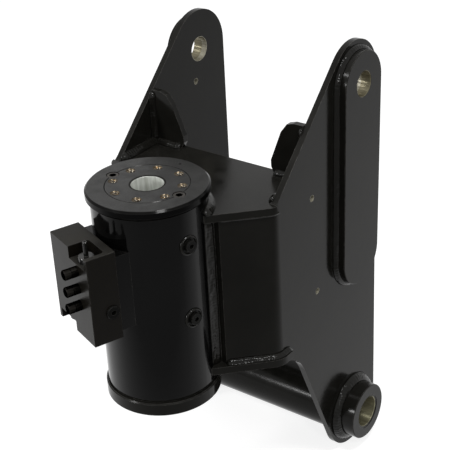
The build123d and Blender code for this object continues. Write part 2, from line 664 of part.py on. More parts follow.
# Cartridge: stem in the block, round cap on the pocket's floor and a thin adjusting stud
with BuildPart() as cartridge:
    with BuildSketch(block_level(TOP_FLOOR - STEM_LENGTH)):
        with Locations((CARTRIDGE_A, -CARTRIDGE_RHO)):
            Circle(STEM_R)
    extrude(amount=STEM_LENGTH)
    with BuildSketch(block_level(TOP_FLOOR)):
        with Locations((CARTRIDGE_A, -CARTRIDGE_RHO)):
            Circle(CARTRIDGE_CAP_R)
    extrude(amount=CARTRIDGE_CAP)
    chamfer(cartridge.faces().sort_by(Axis.Z)[-1].edges(), 0.8)
    with BuildSketch(block_level(TOP_FLOOR + CARTRIDGE_CAP)):
        with Locations((CARTRIDGE_A, -CARTRIDGE_RHO)):
            Circle(STUD_R)
    extrude(amount=STUD_LENGTH)
    chamfer(cartridge.faces().sort_by(Axis.Z)[-1].edges(), 0.5)
    with BuildSketch(block_level(TOP_FLOOR + CARTRIDGE_CAP + STUD_LENGTH)):
        with Locations((CARTRIDGE_A, -CARTRIDGE_RHO)):
            RegularPolygon(1.5, 6, major_radius=False)
    extrude(amount=-4, mode=Mode.SUBTRACT)
save(cartridge.part, "cartridge_upper")

middle = outward(BLOCK_ANGLE, CARTRIDGE_RHO, (TOP_FLOOR + LOW_FLOOR) / 2)
with BuildPart() as cartridge_lower:
    add(cartridge.part.rotate(Axis(middle.origin, middle.z_dir), 180))
save(cartridge_lower.part, "cartridge_lower")

# Stub plugs over the cartridge bore, in two lengths with a groove between
with BuildPart() as stub_plugs:
    for z in STUB_Z:
        with BuildSketch(outward(BLOCK_ANGLE, BLOCK_OUT, z, STUB_A)):
            Circle(STUB_R)
        extrude(amount=STUB_LENGTH - 0.8)
        with BuildSketch(outward(BLOCK_ANGLE, BLOCK_OUT + STUB_LENGTH - 0.8, z, STUB_A)):
            Circle(STUB_R)
        extrude(amount=0.8, taper=45)
        with BuildSketch(outward(BLOCK_ANGLE, BLOCK_OUT + STUB_LENGTH / 2 - 0.8, z, STUB_A)):
            Circle(STUB_R + 1)
            Circle(STUB_R - 1.2, mode=Mode.SUBTRACT)
        extrude(amount=1.6, mode=Mode.SUBTRACT)
        with BuildSketch(outward(BLOCK_ANGLE, BLOCK_OUT, z, STUB_A)):
            Circle(STUB_R - 2)
        extrude(amount=-STUB_SHANK)
        with BuildSketch(outward(BLOCK_ANGLE, BLOCK_OUT + STUB_LENGTH - 5, z, STUB_A)):
            RegularPolygon(3.0, 6, major_radius=False)
        extrude(amount=6, mode=Mode.SUBTRACT)
save(stub_plugs.part, "block_stub_plugs")

# Plug of the cross drilling
with BuildPart() as block_plug:
    with BuildSketch(cross):
        Circle(5)
    extrude(amount=10)
    with BuildSketch(cross.offset(-2.5)):
        Circle(8.6)
    extrude(amount=2.5)
    chamfer(block_plug.faces().sort_by_distance(cross.offset(-40).origin)[0].edges(), 0.8)
    with BuildSketch(cross.offset(-3)):
        RegularPolygon(3.0, 6, major_radius=False)
    extrude(amount=6, mode=Mode.SUBTRACT)
save(block_plug.part, "block_plug")

# Screws holding the block to its saddle, put in from the saddle's hollow side
with BuildPart() as block_screws:
    for a in (-SCREW_A, SCREW_A):
        with BuildSketch(outward(BLOCK_ANGLE, SCREW_SEAT, SCREW_Z, a)):
            Circle(5)
        extrude(amount=-SCREW_HEAD)
        with BuildSketch(outward(BLOCK_ANGLE, SCREW_SEAT, SCREW_Z, a)):
            Circle(3)
        extrude(amount=16)
        with BuildSketch(outward(BLOCK_ANGLE, SCREW_SEAT - SCREW_HEAD, SCREW_Z, a)):
            RegularPolygon(2.5, 6, major_radius=False)
        extrude(amount=3, mode=Mode.SUBTRACT)
save(block_screws.part, "block_screws")
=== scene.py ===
import json
from functools import cached_property
from math import atan2, cos, pi, radians, sin, sqrt, tan
from typing import NamedTuple

import bmesh
import bpy
import numpy as np
from mathutils import Matrix, Vector


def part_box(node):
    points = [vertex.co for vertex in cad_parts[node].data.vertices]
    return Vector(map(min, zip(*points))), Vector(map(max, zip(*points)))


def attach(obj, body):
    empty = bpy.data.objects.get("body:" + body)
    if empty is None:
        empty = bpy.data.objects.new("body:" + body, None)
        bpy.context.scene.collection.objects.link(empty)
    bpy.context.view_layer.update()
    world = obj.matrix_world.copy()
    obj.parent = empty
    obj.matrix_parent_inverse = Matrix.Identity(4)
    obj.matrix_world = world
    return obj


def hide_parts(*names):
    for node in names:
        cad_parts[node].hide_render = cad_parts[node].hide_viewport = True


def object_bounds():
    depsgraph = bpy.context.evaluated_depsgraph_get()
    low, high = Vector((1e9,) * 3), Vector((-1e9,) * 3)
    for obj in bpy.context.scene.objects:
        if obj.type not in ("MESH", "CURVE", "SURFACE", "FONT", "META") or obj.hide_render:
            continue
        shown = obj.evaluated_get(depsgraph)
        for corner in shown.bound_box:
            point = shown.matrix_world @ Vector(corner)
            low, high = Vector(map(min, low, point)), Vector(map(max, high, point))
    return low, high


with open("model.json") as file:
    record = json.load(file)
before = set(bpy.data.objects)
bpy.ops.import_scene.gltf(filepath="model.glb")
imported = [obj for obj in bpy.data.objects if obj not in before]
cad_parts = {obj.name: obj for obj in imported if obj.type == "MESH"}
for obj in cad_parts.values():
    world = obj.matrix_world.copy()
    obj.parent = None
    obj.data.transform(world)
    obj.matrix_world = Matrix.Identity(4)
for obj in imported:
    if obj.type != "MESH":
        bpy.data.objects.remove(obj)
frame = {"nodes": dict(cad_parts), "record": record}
cad_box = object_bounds()
nodes = frame["nodes"]
mounts = {mount["name"]: mount for mount in frame["record"]["mounts"]}
scene = bpy.context.scene
MM = 0.001


def mm(metres):
    return round(metres / MM, 3)


def low(node, axis):
    """Lowest place of a node along an axis, in millimetres."""
    return mm(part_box(node)[0]["xyz".index(axis)])


def high(node, axis):
    """Highest place of a node along an axis, in millimetres."""
    return mm(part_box(node)[1]["xyz".index(axis)])


def place(mount):
    return tuple(mm(v) for v in mounts[mount]["pos_m"])


def measure(mount, name):
    return mounts[mount]["dims"][name]


# Places and sizes of the rotator, in millimetres and radians
PIVOT = place("pivot_bore")
PIVOT_R = measure("pivot_bore", "r_mm")
PIN = place("ear_pin_bore")
PIN_R = measure("ear_pin_bore", "r_mm")
CAP_TOP = place("top_face")[2]
ROTOR_Y = place("shaft_bore")[1]
ROTOR_AXIS = (0.0, ROTOR_Y, 0.0)
SHAFT_BORE_R = measure("shaft_bore", "r_mm")
HOLE_COUNT = measure("top_bolt_circle", "count")
HOLE_PCD_R = measure("top_bolt_circle", "pcd_mm") / 2
HOLE_PHASE = radians(22.86)
HOUSING_R = high("housing", "x")
SHAFT_FACE_R = 50.3
TAPPED_REACH = 49.5
FLANGE_PAINT_TOP = 161.0
PORT_ANGLE = radians(-12)
PORT_Z = (271.0, 370.5)
PORT_WASHER_R = 10.4

# The same of the bracket: its ears, the bend of its sheets and the plates of its box
EAR_IN = high("gusset_right", "x")
EAR_OUT = low("doubler_right", "x")
BEND_Y = -171.0
BEND_R = 20.0
BEND = radians(45)
BEND_REAR_Y = BEND_Y + 6.0
SHEET_DISTANCE = EAR_OUT * cos(BEND) - (BEND_Y - ROTOR_Y) * sin(BEND)
TOP_PLATE = (low("top_plate", "z"), high("top_plate", "z"))
LOW_PLATE = (low("bottom_plate", "z"), high("bottom_plate", "z"))
BOX_REAR_Y = high("top_plate", "y")
LOW_LEDGE_Y = -150.0
SHEET_RUN = 78.0
GUSSET_FRONT_Y = low("gusset_right", "y")
GUSSET_INNER_X = low("gusset_right", "x")
GUSSET_TOP = high("gusset_right", "z")
SMALL_HOLES = ((-90.6, 370.0), (-81.6, 232.0), (-1.4, 446.0))
SMALL_HOLE_R = 4.3
DOUBLER_LOW = (4.5, 250.0)
DOUBLER_R = 42.5
TUBE_R = high("pivot_tube", "y")
LOWEST = round(mm(cad_box[0][2]))


# Camera at the photograph's viewing angle
AZIMUTH, ELEVATION, ROLL = radians(37.98), radians(28.13), radians(-3.19)
CAMERA_AT = Vector((0.8732, -1.2246, 1.0635))
LENS = 98.69


def place_camera():
    back = Vector((sin(AZIMUTH) * cos(ELEVATION), -cos(AZIMUTH) * cos(ELEVATION), sin(ELEVATION)))
    right = (-back).cross(Vector((0, 0, 1))).normalized()
    up = right.cross(-back)
    turned_right = right * cos(ROLL) + up * sin(ROLL)
    turned_up = up * cos(ROLL) - right * sin(ROLL)
    turn = Matrix((turned_right, turned_up, back)).transposed().to_4x4()
    data = bpy.data.cameras.new("camera")
    data.lens = LENS
    data.clip_end = 50
    camera = bpy.data.objects.new("camera", data)
    camera.matrix_world = Matrix.Translation(CAMERA_AT) @ turn
    scene.collection.objects.link(camera)
    scene.camera = camera


place_camera()
scene.view_settings.view_transform = "Standard"


# Materials

BLACK = (0.0046, 0.0044, 0.0037)
# Dust colour on what faces up; strong settings also use it as painted light on tops.
DUST_AND_TOP_LIGHT = (0.06, 0.058, 0.052)
SPECK = (0.2, 0.19, 0.17)
# Rubbed edge colour, which also lays a painted highlight on convex and concave edges.
RUBBED_AND_EDGE_LIGHT = (0.13, 0.125, 0.115)
TURNED_GREY = (0.033, 0.0326, 0.0313)
ACROSS_X = (0, 1, 1)
ACROSS_Z = (1, 1, 0)


def scaled(colour, factor, lift=0.0):
    return tuple(min(1.0, v * factor + lift) for v in colour)


class Look:
    """The node tree of a material or a world, with short ways to add its usual parts."""

    def __init__(self, owner):
        owner.use_nodes = True
        self.owner = owner
        self.tree = owner.node_tree
        self.tree.nodes.clear()

    @cached_property
    def coords(self):
        return self.add("ShaderNodeTexCoord").outputs["Object"]

    def put(self, socket, value):
        """Link a socket to another one, or set it; a colour is given by its three values."""
        if isinstance(value, bpy.types.NodeSocket):
            self.tree.links.new(value, socket)
        elif socket.type == "RGBA":
            socket.default_value = (*value, 1.0)
        else:
            socket.default_value = value

    def add(self, kind, inputs=None, **settings):
        node = self.tree.nodes.new(kind)
        for name, value in settings.items():
            setattr(node, name, value)
        for name, value in (inputs or {}).items():
            self.put(node.inputs[name], value)
        return node

    def noise(self, scale, detail, rough, coords=None):
        inputs = {"Vector": coords or self.coords, "Scale": scale, "Detail": detail, "Roughness": rough}
        return self.add("ShaderNodeTexNoise", inputs).outputs["Fac"]

    def remap(self, value, start, end, to_start, to_end):
        inputs = {"Value": value, "From Min": start, "From Max": end, "To Min": to_start, "To Max": to_end}
        return self.add("ShaderNodeMapRange", inputs).outputs["Result"]

    def math(self, operation, first, *others):
        """One operation over two or more values, from the left."""
        for other in others:
            first = self.add("ShaderNodeMath", {0: first, 1: other}, operation=operation).outputs[0]
        return first

    def times(self, *values):
        return self.math("MULTIPLY", *values)

    def vector(self, operation, a, b=(0.0, 0.0, 0.0)):
        node = self.add("ShaderNodeVectorMath", {0: a, 1: b}, operation=operation)
        return node.outputs["Value" if operation in ("DOT_PRODUCT", "LENGTH") else "Vector"]

    def up_part(self, vector):
        return self.add("ShaderNodeSeparateXYZ", {0: vector}).outputs["Z"]

    def mix(self, factor, a, b):
        return self.add("ShaderNodeMix", {0: factor, 6: a, 7: b}, data_type="RGBA").outputs[2]

    def edges(self, radius):
        """1 on convex and concave edges within radius, 0 on the flat."""
        flat = self.add("ShaderNodeNewGeometry").outputs["Normal"]
        rounded = self.add("ShaderNodeBevel", {"Radius": radius}, samples=4).outputs[0]
        return self.remap(self.vector("DOT_PRODUCT", rounded, flat), 0.995, 0.86, 0.0, 1.0)

    def bump(self, height, strength, distance, normal=None):
        inputs = {"Height": height, "Strength": strength, "Distance": distance}
        if normal:
            inputs["Normal"] = normal
        return self.add("ShaderNodeBump", inputs).outputs["Normal"]

    def step(self, value, at, sign):
        """1 past a place in millimetres, above it for sign 1 and below it for sign -1."""
        soft = 0.15 * sign
        return self.remap(value, (at - soft) * MM, (at + soft) * MM, 0.0, 1.0)

    def within(self, centre, across, radius):
        """1 inside a cylinder round centre; across marks the two directions across it."""
        moved = self.vector("SUBTRACT", self.coords, tuple(v * MM for v in centre))
        distance = self.vector("LENGTH", self.vector("MULTIPLY", moved, across))
        return self.step(distance, radius, -1)

    def rings(self, centre):
        """Fine turning marks round an upright axis."""
        shift = {"Vector": self.coords, "Location": tuple(-v * MM for v in centre)}
        moved = self.add("ShaderNodeMapping", shift).outputs[0]
        inputs = {"Vector": moved, "Scale": 1200.0, "Distortion": 1.5, "Detail": 2.0, "Detail Scale": 2.0}
        wave = self.add("ShaderNodeTexWave", inputs, wave_type="RINGS", rings_direction="Z")
        return wave.outputs["Fac"]

    def shader(self, **inputs):
        named = {name.replace("_", " "): value for name, value in inputs.items()}
        return self.add("ShaderNodeBsdfPrincipled", named).outputs[0]

    def mix_shader(self, factor, a, b):
        return self.add("ShaderNodeMixShader", {0: factor, 1: a, 2: b}).outputs[0]

    def close(self, shader, output="ShaderNodeOutputMaterial"):
        self.add(output, {"Surface": shader})
        return self.owner

    def paint(self, base=BLACK, rough=0.1, peel=0.2, grain=900.0, dust=0.5, worn=0.6, gloss=0.1):
        """Enamel: orange peel, a little dust and specks on what faces up, the dust at strong settings also
        painted light on the top, and edges lightened, partly rubbed wear and partly a painted edge
        highlight.
        """
        patches = self.noise(14.0, 4.0, 0.6)
        normal = self.add("ShaderNodeNewGeometry").outputs["Normal"]
        facing_up = self.remap(self.up_part(normal), 0.2, 1.0, 0.0, 1.0)
        # Lighter on what faces up: dust, and at strong settings painted light on the top.
        dusty = self.times(facing_up, self.remap(patches, 0.35, 0.7, 0.1, 1.0), dust)
        specks = self.times(self.remap(self.noise(2600.0, 2.0, 0.6), 0.68, 0.75, 0.0, 0.3), facing_up)
        # Lighter edges, convex and concave alike: partly rubbed wear, partly a painted edge highlight.
        wear_and_edge_light = self.remap(self.noise(160.0, 4.0, 0.7), 0.35, 0.65, 0.0, worn)
        edge = self.times(self.edges(0.0011), wear_and_edge_light)
        colour = self.mix(self.remap(patches, 0.3, 0.7, 0.0, 1.0), base, scaled(base, 1.6))
        colour = self.mix(self.times(dusty, 0.2), colour, DUST_AND_TOP_LIGHT)
        colour = self.mix(specks, colour, SPECK)
        colour = self.mix(edge, colour, RUBBED_AND_EDGE_LIGHT)
        skin = self.remap(patches, 0.3, 0.75, rough, rough + 0.08)
        roughness = self.math("ADD", skin, self.times(dusty, 0.2), self.times(edge, 0.25))
        waves = self.bump(self.noise(90.0, 2.0, 0.5), 0.1, 0.0006)
        peeled = self.bump(self.noise(grain, 2.0, 0.5), peel, 0.00012, waves)
        return self.shader(
            Base_Color=colour, Roughness=roughness, Normal=peeled, IOR=1.5, Specular_IOR_Level=gloss)

    def bore(self, light, dark, metallic=0.35, axis="Z", turned=0.0):
        """Bright bored wall with streaks along its axis; turned spreads its glints that way too."""
        stretch = tuple(0.06 if name == axis else 1.0 for name in "XYZ")
        drawn_out = self.add("ShaderNodeMapping", {"Vector": self.coords, "Scale": stretch}).outputs[0]
        streak = self.remap(self.noise(260.0, 4.0, 0.6, drawn_out), 0.35, 0.7, 0.0, 1.0)
        tangent = self.add("ShaderNodeTangent", direction_type="RADIAL", axis=axis).outputs[0]
        return self.shader(
            Base_Color=self.mix(streak, light, dark), Metallic=metallic,
            Roughness=self.remap(streak, 0.0, 1.0, 0.3, 0.45), Normal=self.bump(streak, 0.3, 0.0002),
            Anisotropic=turned, Anisotropic_Rotation=0.25, Tangent=tangent)

    def metal(self, base, rough=0.3, turned_round=None, grime=0.4, tint=None, edge=0.5, graze=1.0):
        """Machined metal with turning marks or a plain grain, stains, and its edges lightened as a painted
        highlight.
        """
        marks = self.rings(turned_round) if turned_round else self.noise(1500.0, 3.0, 0.6)
        patches = self.noise(60.0, 5.0, 0.65)
        spots = self.remap(self.noise(420.0, 3.0, 0.6), 0.55, 0.75, 0.0, grime)
        dark = scaled(base, 0.35)
        colour = self.mix(self.remap(patches, 0.4, 0.75, 0.0, grime), base, dark)
        colour = self.mix(spots, colour, tint or dark)
        # Lighter edges, convex and concave alike: a painted edge highlight.
        colour = self.mix(self.times(self.edges(0.0007), edge), colour, scaled(base, 1.6, 0.05))
        return self.shader(
            Base_Color=colour, Metallic=1.0, Roughness=self.remap(patches, 0.3, 0.8, rough, rough + 0.2),
            Normal=self.bump(marks, 0.25, 0.00005), Specular_Tint=(graze, graze, graze))


def new_look(name):
    return Look(bpy.data.materials.new(name))


def black_paint(name, **finish):
    """Gloss black enamel."""
    look = new_look(name)
    return look.close(look.paint(**finish))


def metal(name, base, **finish):
    look = new_look(name)
    return look.close(look.metal(base, **finish))


def moulded(name, base, rough):
    """Rubber or plastic with a fine moulded grain."""
    look = new_look(name)
    patches = look.remap(look.noise(40.0, 3.0, 0.6), 0.3, 0.7, 0.0, 1.0)
    return look.close(look.shader(
        Base_Color=look.mix(patches, base, scaled(base, 1.5)),
        Roughness=look.remap(patches, 0.0, 1.0, rough, rough + 0.15),
        Normal=look.bump(look.noise(500.0, 3.0, 0.6), 0.3, 0.0001)))


def painted_with_bore(name, centre, radius, light, dark, metallic, holes=(), rough=0.1, gloss=0.095):
    """Black enamel, with bare steel in a bore along X and in small holes beside it."""
    look = new_look(name)
    inside = look.within(centre, ACROSS_X, radius)
    for y, z in holes:
        inside = look.math("MAXIMUM", inside, look.within((0, y, z), ACROSS_X, SMALL_HOLE_R))
    paint = look.paint(rough=rough, gloss=gloss)
    steel = look.bore(light, dark, metallic, axis="X", turned=0.9)
    return look.close(look.mix_shader(inside, paint, steel))


def shaft_material():
    """Satin turned top end, bright bore in a ring of painted shade, tapped holes and an enamelled flange.
    """
    look = new_look("shaft_steel")
    z = look.up_part(look.coords)
    top = look.metal(TURNED_GREY, turned_round=ROTOR_AXIS, grime=0.3, edge=0.0)
    tapped = look.metal((0.09, 0.07, 0.045), rough=0.25)
    bore = look.bore((0.72, 0.74, 0.7), (0.38, 0.39, 0.35))
    # Black ring round the bore on the turned face: painted shade at the bore's mouth.
    painted_shade_ring = look.paint(worn=0.0, gloss=0.02)
    below_face = look.times(
        look.step(z, CAP_TOP - 0.35, -1), look.within(ROTOR_AXIS, ACROSS_Z, TAPPED_REACH))
    shader = look.mix_shader(look.within(ROTOR_AXIS, ACROSS_Z, SHAFT_FACE_R), look.paint(), top)
    shader = look.mix_shader(below_face, shader, tapped)
    shader = look.mix_shader(look.within(ROTOR_AXIS, ACROSS_Z, SHAFT_BORE_R + 2.7), shader, painted_shade_ring)
    shader = look.mix_shader(look.within(ROTOR_AXIS, ACROSS_Z, SHAFT_BORE_R + 0.2), shader, bore)
    return look.close(look.mix_shader(look.step(z, FLANGE_PAINT_TOP, -1), shader, look.paint()))


def cap_material():
    """Satin turned top face, black enamel round the side."""
    look = new_look("end_cap_steel")
    top = look.metal(TURNED_GREY, turned_round=ROTOR_AXIS, grime=0.3, edge=0.0)
    side = look.paint(base=(0.001, 0.001, 0.001), rough=0.06, worn=0.1, gloss=0.05)
    face = look.step(look.up_part(look.coords), CAP_TOP - 0.2, 1)
    return look.close(look.mix_shader(face, side, top))


PAINT = black_paint("gloss_black_enamel")
BARREL_PAINT = black_paint(
    "barrel_enamel", base=(0.001, 0.001, 0.001), rough=0.06, peel=0.12, dust=0.3, worn=0.2, gloss=0.14)
WELD_PAINT = black_paint(
    "weld_enamel", rough=0.03, peel=0.5, grain=500.0, dust=0.3, worn=0.1, gloss=0.14)
# Its strong dust setting lightens the block's upward faces: dust and painted light on its top.
BLOCK_PAINT = black_paint(
    "valve_block_enamel", base=(0.0032, 0.0027, 0.002), rough=0.3, dust=2.2, worn=0.3, gloss=0.09)
# On the plugs and cartridges the edge lightening draws light outlines, a painted highlight.
PLUG_PAINT = black_paint(
    "plug_enamel", base=(0.002, 0.002, 0.0018), rough=0.05, peel=0.3, worn=0.3, gloss=0.07)
CARTRIDGE_PAINT = black_paint(
    "cartridge_enamel", base=(0.004, 0.004, 0.0036), rough=0.05, peel=0.2, worn=0.8, gloss=0.3)
# The pin bore's bare steel is darker in the doublers than in the ears, lit and shaded copies of one steel:
# painted light and shade.
DOUBLER_PAINT = painted_with_bore(
    "doubler_enamel", PIN, PIN_R + 0.4, light=(0.19, 0.17, 0.11), dark=(0.08, 0.07, 0.04), metallic=0.6)
EAR_PAINT = painted_with_bore(
    "ear_enamel", PIN, PIN_R + 0.4, light=(0.34, 0.32, 0.25), dark=(0.16, 0.15, 0.11), metallic=0.5,
    holes=SMALL_HOLES)
BUSH = painted_with_bore(
    "bored_bush_steel", PIVOT, PIVOT_R + 0.5, light=(0.3, 0.285, 0.19), dark=(0.13, 0.12, 0.07),
    metallic=0.8, rough=0.06, gloss=0.08)
SHAFT_END = shaft_material()
CAP = cap_material()
STUB_STEEL = metal("black_plated_steel", (0.013, 0.012, 0.0105), rough=0.16, grime=0.3, edge=0.3, graze=0.1)
OXIDE = metal("blackened_steel", (0.032, 0.027, 0.021), rough=0.14)
GEAR = metal("hobbed_steel", (0.36, 0.36, 0.37))
TAPPED = metal("tapped_thread", (0.34, 0.3, 0.24), rough=0.2, grime=1.0, tint=(0.5, 0.25, 0.05), edge=0.15)
BEARING = moulded("bearing_plastic", (0.2, 0.14, 0.07), 0.5)
SEAL = moulded("seal_rubber", (0.012, 0.012, 0.012), 0.55)

LOOKS = {
    "housing": BARREL_PAINT,
    "valve_saddle": BARREL_PAINT,
    "shaft": SHAFT_END,
    "end_cap": CAP,
    "lock_screws": OXIDE,
    "block_screws": OXIDE,
    "valve_block": BLOCK_PAINT,
    "block_stub_plugs": STUB_STEEL,
    "block_plug": PLUG_PAINT,
    "port_plugs": PLUG_PAINT,
    "port_washers": PLUG_PAINT,
    "cartridge_upper": CARTRIDGE_PAINT,
    "cartridge_lower": CARTRIDGE_PAINT,
    "side_plate_right": EAR_PAINT,
    "side_plate_left": EAR_PAINT,
    "doubler_right": DOUBLER_PAINT,
    "doubler_left": DOUBLER_PAINT,
    "pivot_bush_right": BUSH,
    "pivot_bush_left": BUSH,
    "ring_gear": GEAR,
    "piston": GEAR,
    "upper_bearing": BEARING,
    "lower_bearing": BEARING,
    "piston_guide_ring": BEARING,
    "upper_seal": SEAL,
    "lower_seal": SEAL,
    "piston_inner_seal": SEAL,
    "piston_outer_seal": SEAL,
}

for name, node in nodes.items():
    node.data.materials.clear()
    node.data.materials.append(LOOKS.get(name, WELD_PAINT if "weld" in name else PAINT))


# Weld beads: one piece holds the beads of one kind on one side

FORWARD, REARWARD = (0.0, -1.0, 0.0), (0.0, 1.0, 0.0)
UP, DOWN = (0.0, 0.0, 1.0), (0.0, 0.0, -1.0)
BEAD_STEP = 0.9
BEAD_COLUMNS = 9
LUMP_SPAN = 9
LUMP_HEIGHT = 0.09
RIPPLE_PITCH = 4.2
SLOW_WAVES = 6
ROOT_DEPTH = 0.5
TOE_DEPTH = 0.12


class Bead(NamedTuple):
    """A bead's line in a corner, the directions of its two legs, their length and its crown.

    A direction is one for the whole line, or a list with one for each point.
    """

    points: list
    side_a: tuple
    side_b: tuple
    leg: float
    closed: bool = False
    crown: float = 0.17


def spaced(points, closed):
    """Points along a line at an even step, each with its place among the points and along the line."""
    points = [Vector(p) for p in points]
    if closed:
        points.append(points[0])
    runs = [0.0]
    for p, q in zip(points, points[1:]):
        runs.append(runs[-1] + (q - p).length)
    count = max(4, round(runs[-1] / BEAD_STEP))
    found = []
    k = 0
    for i in range(count if closed else count + 1):
        s = runs[-1] * i / count
        while k < len(runs) - 2 and runs[k + 1] < s:
            k += 1
        share = (s - runs[k]) / max(1e-9, runs[k + 1] - runs[k])
        found.append((points[k].lerp(points[k + 1], share), k + share, s))
    return found, runs[-1]


def blend(side, at, bead):
    """Direction of a leg at a place among the bead's points."""
    if not isinstance(side, list):
        return Vector(side).normalized()
    k = int(at)
    after = (k + 1) % len(side) if bead.closed else min(k + 1, len(side) - 1)
    return Vector(side[k % len(side)]).lerp(Vector(side[after]), at - k).normalized()


def leg_at(bead, s, length, waver):
    """Length of the legs at a place along the bead, which thins out at its open ends."""
    leg = bead.leg * (1 + 0.14 * waver)
    if bead.closed:
        return leg
    end = max(0.0, min(s, length - s))
    return leg * min(1.0, 0.45 + 0.55 * sqrt(end / (0.8 * bead.leg)))


def add_bead(mesh, bead, seed):
    """Add a rippled, slightly lumpy bead whose section fills its corner."""
    rng = np.random.RandomState(seed)
    stations, length = spaced(bead.points, bead.closed)
    phases = rng.uniform(0, 2 * pi, SLOW_WAVES)
    waves = rng.uniform(0.02, 0.11, SLOW_WAVES)
    pitch = RIPPLE_PITCH
    if bead.closed:
        waves = np.round(waves * length / (2 * pi)) * 2 * pi / length
        pitch = length / max(1, round(length / pitch))
    lumps = rng.normal(0.0, 1.0, (len(stations), BEAD_COLUMNS))
    lumps = sum(np.roll(lumps, k, axis=0) for k in range(LUMP_SPAN)) / LUMP_SPAN
    ripple = 0.05 if bead.crown > 0.1 else 0.02
    rows = []
    for row_lumps, (centre, at, s) in zip(lumps, stations):
        a, b = blend(bead.side_a, at, bead), blend(bead.side_b, at, bead)
        out = (a + b).normalized()
        waver = sum(sin(w * s + p) for w, p in zip(waves, phases)) / SLOW_WAVES
        size = leg_at(bead, s, length, waver)
        row = [mesh.verts.new((centre - out * ROOT_DEPTH) * MM)]
        for i in range(BEAD_COLUMNS):
            t = i / (BEAD_COLUMNS - 1)
            dome = sin(pi * t)
            chevron = s + 1.1 * (2 * t - 1) ** 2
            wave = abs(sin(pi * chevron / pitch)) ** 0.6
            relief = (ripple * (wave - 0.6) + LUMP_HEIGHT * row_lumps[i]) * (0.3 + 0.7 * dome)
            lift = size * (bead.crown * dome + relief) - TOE_DEPTH * (1 - dome)
            row.append(mesh.verts.new((centre + a * size * (1 - t) + b * size * t + out * lift) * MM))
        rows.append(row)
    join_rows(mesh, rows, bead.closed)


def join_rows(mesh, rows, closed=False):
    """Skin between rows of points that each go once round, with caps unless the whole is closed."""
    count = len(rows[0])
    for near, far in zip(rows, rows[1:] + (rows[:1] if closed else [])):
        for i in range(count):
            j = (i + 1) % count
            mesh.faces.new((near[i], near[j], far[j], far[i]))
    if not closed:
        mesh.faces.new(rows[0])
        mesh.faces.new(list(reversed(rows[-1])))


def piece(name, mesh, material, body, replaces=()):
    """Make a named object from a mesh; it moves with a body."""
    bmesh.ops.recalc_face_normals(mesh, faces=mesh.faces)
    data = bpy.data.meshes.new(name)
    mesh.to_mesh(data)
    mesh.free()
    for face in data.polygons:
        face.use_smooth = True
    obj = bpy.data.objects.new(name, data)
    scene.collection.objects.link(obj)
    data.materials.append(material)
    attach(obj, body)
    if replaces:
        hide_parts(*replaces)


def weld(name, beads, replaces=()):
    """One piece on the bracket from several beads."""
    mesh = bmesh.new()
    for k, bead in enumerate(beads):
        add_bead(mesh, bead, len(name) * 7 + k)
    piece(name, mesh, WELD_PAINT, "bracket", replaces)


def to_side(side, points):
    """Points of the right side as they are for side 1, and mirrored for side -1."""
    return [(side * x, y, z) for x, y, z in points]


def oval(x, radius):
    """Outline round the pin hole and the doubler's low end, with its outward directions."""
    (y0, z0), (y1, z1) = PIN[1:], DOUBLER_LOW
    lean = atan2(y0 - y1, z0 - z1)
    points, outs = [], []
    steps = 24
    for (y, z), start in (((y0, z0), 0.0), ((y1, z1), pi)):
        for i in range(steps + 1):
            t = start + pi * i / steps - lean
            out = (0.0, cos(t), sin(t))
            points.append((x, y + radius * out[1], z + radius * out[2]))
            outs.append(out)
    return points, outs


def tube_circle(x):
    """Circle round the cross tube, with its outward directions."""
    count = 72
    turns = [2 * pi * i / count for i in range(count)]
    outs = [(0.0, cos(t), sin(t)) for t in turns]
    return [(x, TUBE_R * y, TUBE_R * z) for _, y, z in outs], outs


def sheet_point(offset, run, z):
    """Point on the bent part of the right sheet, offset out from its outer face, run back along it."""
    d = SHEET_DISTANCE + offset
    return (d * cos(BEND) + run * sin(BEND), ROTOR_Y - d * sin(BEND) + run * cos(BEND), z)


def sheet_crossing(offset):
    """Run at which the bent part meets the barrel."""
    return sqrt(HOUSING_R ** 2 - (SHEET_DISTANCE + offset) ** 2)


def bend_line(z):
    """Points and outward directions round the bend at a height, and on along the sheet to the barrel."""
    centre_x = EAR_OUT - BEND_R
    centre_y = BEND_Y + BEND_R * tan(BEND / 2)
    points, outs = [], []
    steps = 6
    for i in range(steps + 1):
        turn = -BEND * i / steps
        out = (cos(turn), sin(turn), 0.0)
        points.append((centre_x + BEND_R * out[0], centre_y + BEND_R * out[1], z))
        outs.append(out)
    return points + [sheet_point(0.0, SHEET_RUN, z)], outs + outs[-1:]


def ledge_bead(side):
    """Round the end of the low plate, then on it along the sheet."""
    top = LOW_PLATE[1]
    line, outs = bend_line(top)
    start = [
        (EAR_OUT, LOW_LEDGE_Y, LOW_PLATE[0] + 0.5),
        (EAR_OUT, LOW_LEDGE_Y, top - 2.5),
        (EAR_OUT, LOW_LEDGE_Y - 3, top),
    ]
    outs = [(1.0, 0.0, 0.0)] * len(start) + outs
    ups = [REARWARD, (0.0, 0.9, 0.4), UP] + [UP] * len(line)
    return Bead(to_side(side, start + line), to_side(side, outs), ups, leg=6.2)


def under_bead(side):
    """Under the top plate along the sheet."""
    line, outs = bend_line(TOP_PLATE[0])
    points = [(EAR_OUT, BEND_REAR_Y, TOP_PLATE[0])] + line
    return Bead(to_side(side, points), to_side(side, [(1.0, 0.0, 0.0)] + outs), DOWN, leg=2.9)


def upright_bead(side):
    """Hollow bead between the barrel and the bent sheet."""
    inward = 3.0
    points = [sheet_point(-inward, sheet_crossing(-inward), z) for z in (LOW_PLATE[1], TOP_PLATE[0])]
    along_sheet = (cos(BEND), sin(BEND), 0.0)
    along_barrel = (0.33, -0.94, 0.0)
    return Bead(
        to_side(side, points), to_side(side, [along_sheet] * 2), to_side(side, [along_barrel] * 2),
        leg=8.5, crown=-0.08)


